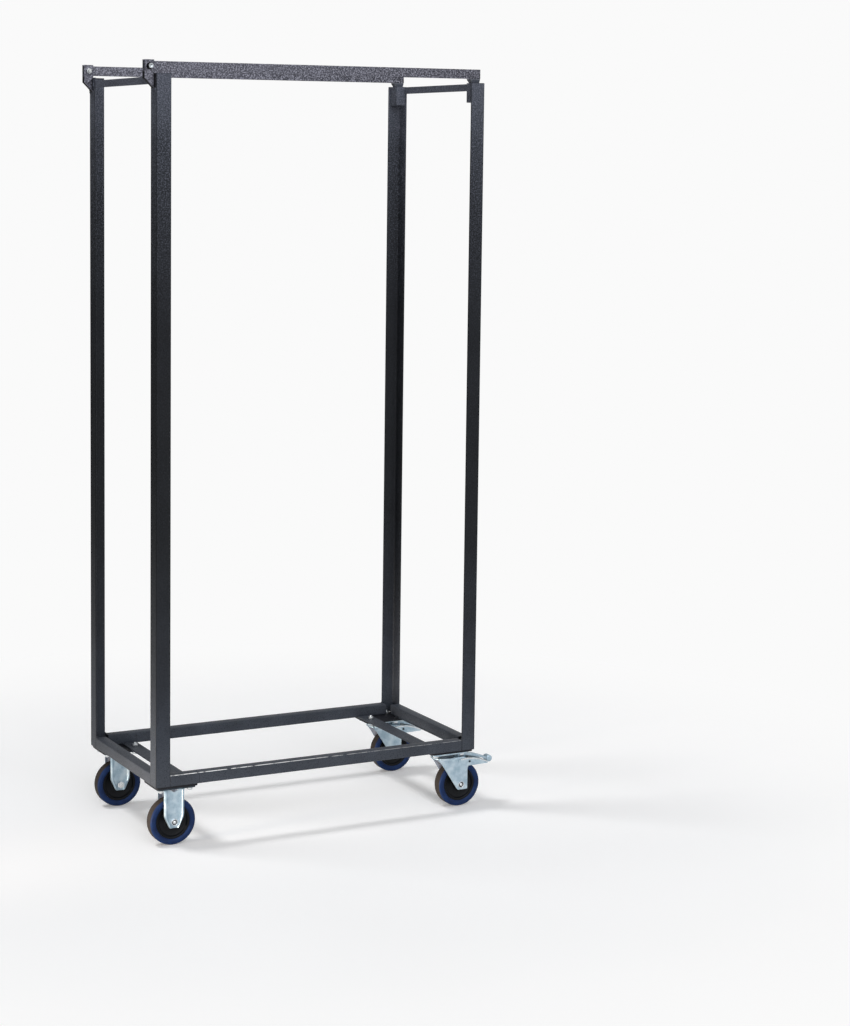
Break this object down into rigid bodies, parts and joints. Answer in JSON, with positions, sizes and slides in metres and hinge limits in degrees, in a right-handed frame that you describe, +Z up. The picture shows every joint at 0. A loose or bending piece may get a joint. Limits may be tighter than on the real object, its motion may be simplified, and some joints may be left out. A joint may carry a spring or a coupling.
{
  "type": "folding chair trolley",
  "caption": "Tall steel trolley with four angle posts, hinged lock bars over the top and castors, two of them braked, for a wide stack of folded furniture.",
  "frame": {"origin": "on the floor under the middle of the whole outline", "axes": "+Z up; X along the long side, with the bar hinges and the fixed castors at -X and the swivel castors at +X; the long open sides face -Y and +Y"},
  "size_m": [1.0394, 0.49, 2.0211],
  "materials": {
    "blue_grey_paint": "hammered blue-grey powder coat on steel, rubbed bright on the top edges of the base",
    "zinc_plated_steel": "blue passivated zinc plating on pressed steel, bolts and nuts",
    "blue_elastic_tyre": "matt blue elastic rubber with a dusty tread",
    "black_nylon": "moulded black polyamide, satin"
  },
  "bodies": {
    "frame": {"front_left_post": "blue_grey_paint", "front_right_post": "blue_grey_paint", "front_base_rail": "blue_grey_paint", "front_hinge_lug": "blue_grey_paint", "front_hinge_bolt": "zinc_plated_steel", "front_hinge_nut": "zinc_plated_steel", "front_bar_socket": "blue_grey_paint", "rear_left_post": "blue_grey_paint", "rear_right_post": "blue_grey_paint", "rear_base_rail": "blue_grey_paint", "rear_hinge_lug": "blue_grey_paint", "rear_hinge_bolt": "zinc_plated_steel", "rear_hinge_nut": "zinc_plated_steel", "rear_bar_socket": "blue_grey_paint", "left_base_rail": "blue_grey_paint", "right_base_rail": "blue_grey_paint", "left_cross_strap": "blue_grey_paint", "right_cross_strap": "blue_grey_paint", "left_top_rail": "blue_grey_paint", "right_top_rail": "blue_grey_paint", "front_left_castor_pad": "blue_grey_paint", "front_right_castor_pad": "blue_grey_paint", "front_left_castor_fork": "zinc_plated_steel", "front_left_axle_bolt": "zinc_plated_steel", "front_left_axle_nut": "zinc_plated_steel", "front_right_swivel_plate": "zinc_plated_steel", "front_right_kingpin": "zinc_plated_steel", "rear_left_castor_pad": "blue_grey_paint", "rear_right_castor_pad": "blue_grey_paint", "rear_left_castor_fork": "zinc_plated_steel", "rear_left_axle_bolt": "zinc_plated_steel", "rear_left_axle_nut": "zinc_plated_steel", "rear_right_swivel_plate": "zinc_plated_steel", "rear_right_kingpin": "zinc_plated_steel"},
    "front_bar": {"front_lock_bar": "blue_grey_paint", "front_bar_foot": "blue_grey_paint"},
    "front_left_wheel": {"front_left_wheel_core": "black_nylon", "front_left_tyre": "blue_elastic_tyre"},
    "front_swivel": {"front_right_castor_fork": "zinc_plated_steel", "front_right_axle_bolt": "zinc_plated_steel", "front_right_axle_nut": "zinc_plated_steel"},
    "front_right_wheel": {"front_right_wheel_core": "black_nylon", "front_right_tyre": "blue_elastic_tyre"},
    "front_brake": {"front_right_brake_lever": "zinc_plated_steel"},
    "front_release": {"front_right_release_arm": "zinc_plated_steel"},
    "rear_bar": {"rear_lock_bar": "blue_grey_paint", "rear_bar_foot": "blue_grey_paint"},
    "rear_left_wheel": {"rear_left_wheel_core": "black_nylon", "rear_left_tyre": "blue_elastic_tyre"},
    "rear_swivel": {"rear_right_castor_fork": "zinc_plated_steel", "rear_right_axle_bolt": "zinc_plated_steel", "rear_right_axle_nut": "zinc_plated_steel"},
    "rear_right_wheel": {"rear_right_wheel_core": "black_nylon", "rear_right_tyre": "blue_elastic_tyre"},
    "rear_brake": {"rear_right_brake_lever": "zinc_plated_steel"},
    "rear_release": {"rear_right_release_arm": "zinc_plated_steel"}
  },
  "joints": [
    {"name": "front_bar_hinge", "type": "hinge", "parent": "frame", "child": "front_bar", "pos_m": [-0.50705, -0.2227, 2.002], "axis": [0, -1, 0], "range_deg": [0, 94]},
    {"name": "front_left_roll", "type": "hinge", "parent": "frame", "child": "front_left_wheel", "pos_m": [-0.43375, -0.199, 0.0625], "axis": [0, 1, 0], "continuous": true},
    {"name": "front_swivel_turn", "type": "hinge", "parent": "frame", "child": "front_swivel", "pos_m": [0.37025, -0.199, 0.15], "axis": [0, 0, 1], "continuous": true},
    {"name": "front_right_roll", "type": "hinge", "parent": "front_swivel", "child": "front_right_wheel", "pos_m": [0.41325, -0.199, 0.0625], "axis": [0, 1, 0], "continuous": true},
    {"name": "front_brake_press", "type": "hinge", "parent": "front_swivel", "child": "front_brake", "pos_m": [0.43825, -0.199, 0.126], "axis": [0, 1, 0], "range_deg": [0, 13]},
    {"name": "front_release_tilt", "type": "hinge", "parent": "front_swivel", "child": "front_release", "pos_m": [0.41425, -0.199, 0.145], "axis": [0, 1, 0], "range_deg": [0, 6.5]},
    {"name": "rear_bar_hinge", "type": "hinge", "parent": "frame", "child": "rear_bar", "pos_m": [-0.50705, 0.2227, 2.002], "axis": [0, -1, 0], "range_deg": [0, 94]},
    {"name": "rear_left_roll", "type": "hinge", "parent": "frame", "child": "rear_left_wheel", "pos_m": [-0.43375, 0.199, 0.0625], "axis": [0, 1, 0], "continuous": true},
    {"name": "rear_swivel_turn", "type": "hinge", "parent": "frame", "child": "rear_swivel", "pos_m": [0.37025, 0.199, 0.15], "axis": [0, 0, 1], "continuous": true},
    {"name": "rear_right_roll", "type": "hinge", "parent": "rear_swivel", "child": "rear_right_wheel", "pos_m": [0.41325, 0.199, 0.0625], "axis": [0, 1, 0], "continuous": true},
    {"name": "rear_brake_press", "type": "hinge", "parent": "rear_swivel", "child": "rear_brake", "pos_m": [0.43825, 0.199, 0.126], "axis": [0, 1, 0], "range_deg": [0, 13]},
    {"name": "rear_release_tilt", "type": "hinge", "parent": "rear_swivel", "child": "rear_release", "pos_m": [0.41425, 0.199, 0.145], "axis": [0, 1, 0], "range_deg": [0, 6.5]}
  ],
  "couplings": [
    {"joint": "front_release_tilt", "follows": "front_brake_press", "ratio": 0.5},
    {"joint": "rear_release_tilt", "follows": "rear_brake_press", "ratio": 0.5}
  ]
}
